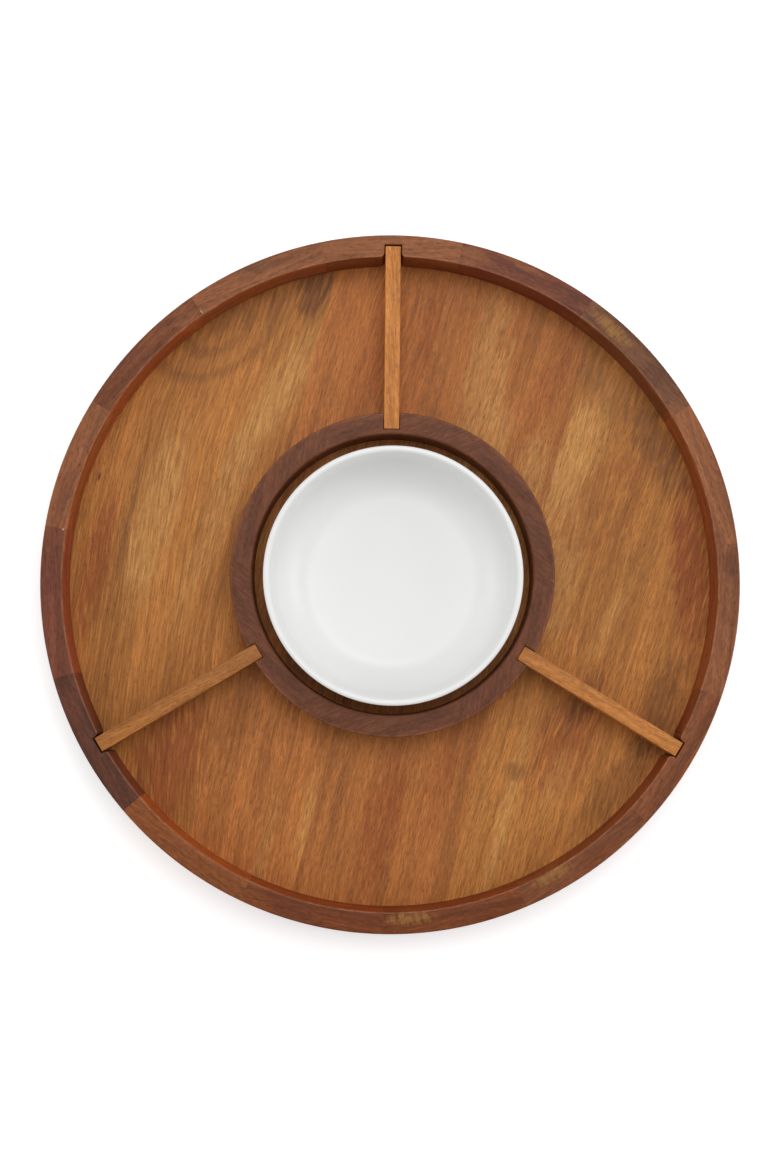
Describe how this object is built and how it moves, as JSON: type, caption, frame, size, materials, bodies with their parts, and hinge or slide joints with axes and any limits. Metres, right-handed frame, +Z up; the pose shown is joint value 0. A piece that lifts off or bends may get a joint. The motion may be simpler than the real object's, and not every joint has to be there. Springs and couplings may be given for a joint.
{
  "type": "chip and dip server",
  "caption": "Round wooden serving tray with lift-out dividers between rim and centre ring, and a loose white glazed dip bowl standing in the ring.",
  "frame": {"origin": "centre of the rim's underside, where the tray rests on a table", "axes": "+Z up out of the compartments; +Y towards the back divider; +X to the right of a person who sits at the front"},
  "size_m": [0.3809, 0.3808, 0.0543],
  "materials": {
    "rim_wood": "oiled, satin",
    "ring_wood": "oiled, satin",
    "floor_wood": "oiled, satin",
    "divider_wood": "sanded, oiled",
    "bowl_glaze": "clear glossy glaze"
  },
  "bodies": {
    "tray": {"floor_plank_1": "floor_wood", "floor_plank_2": "floor_wood", "floor_plank_3": "floor_wood", "floor_plank_4": "floor_wood", "rim_segment_01": "rim_wood", "rim_segment_02": "rim_wood", "rim_segment_03": "rim_wood", "rim_segment_04": "rim_wood", "rim_segment_05": "rim_wood", "rim_segment_06": "rim_wood", "rim_segment_07": "rim_wood", "rim_segment_08": "rim_wood", "rim_segment_09": "rim_wood", "rim_segment_10": "rim_wood", "rim_segment_11": "rim_wood", "rim_segment_12": "rim_wood", "rim_segment_13": "rim_wood", "rim_segment_14": "rim_wood", "rim_segment_15": "rim_wood", "ring_segment_01": "ring_wood", "ring_segment_02": "ring_wood", "ring_segment_03": "ring_wood", "ring_segment_04": "ring_wood", "ring_segment_05": "ring_wood", "ring_segment_06": "ring_wood"},
    "back_divider": {"divider_back": "divider_wood"},
    "left_divider": {"divider_left": "divider_wood"},
    "right_divider": {"divider_right": "divider_wood"},
    "bowl": {"dip_bowl": "bowl_glaze"}
  },
  "joints": [
    {"name": "back_divider_lift", "type": "slide", "parent": "tray", "child": "back_divider", "axis": [0, 0, 1], "range_m": [0, 0.04]},
    {"name": "left_divider_lift", "type": "slide", "parent": "tray", "child": "left_divider", "axis": [0, 0, 1], "range_m": [0, 0.04]},
    {"name": "right_divider_lift", "type": "slide", "parent": "tray", "child": "right_divider", "axis": [0, 0, 1], "range_m": [0, 0.04]},
    {"name": "bowl_lift", "type": "slide", "parent": "tray", "child": "bowl", "axis": [0, 0, 1], "range_m": [0, 0.06]}
  ]
}
